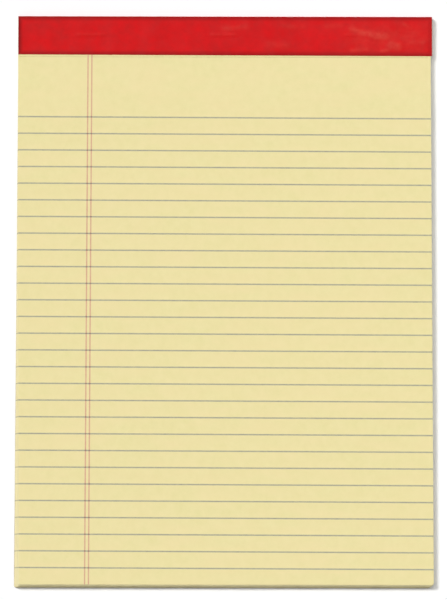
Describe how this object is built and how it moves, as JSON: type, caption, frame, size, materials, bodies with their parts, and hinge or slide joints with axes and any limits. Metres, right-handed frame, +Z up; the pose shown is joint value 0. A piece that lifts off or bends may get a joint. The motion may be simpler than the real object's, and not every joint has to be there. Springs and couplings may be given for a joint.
{
  "type": "legal pad",
  "caption": "Ruled yellow writing pad, stapled and capped with a red strip at the head, on a chipboard backing.",
  "frame": {"origin": "centre of the pad's footprint, on its underside", "axes": "+Z up out of the page, +Y towards the bound head of the page, +X to the right of the page"},
  "size_m": [0.2184, 0.2988, 0.0055],
  "materials": {
    "yellow_paper": "matte",
    "chipboard": "matte",
    "red_binding_paper": "satin",
    "staple_wire": "satin",
    "rule_ink": "matte",
    "margin_ink": "matte"
  },
  "bodies": {
    "root": {"ruled_sheets": "yellow_paper", "backing_board": "chipboard", "binding_strip": "red_binding_paper", "staples": "staple_wire", "rule_lines": "rule_ink", "margin_lines": "margin_ink"}
  },
  "joints": []
}
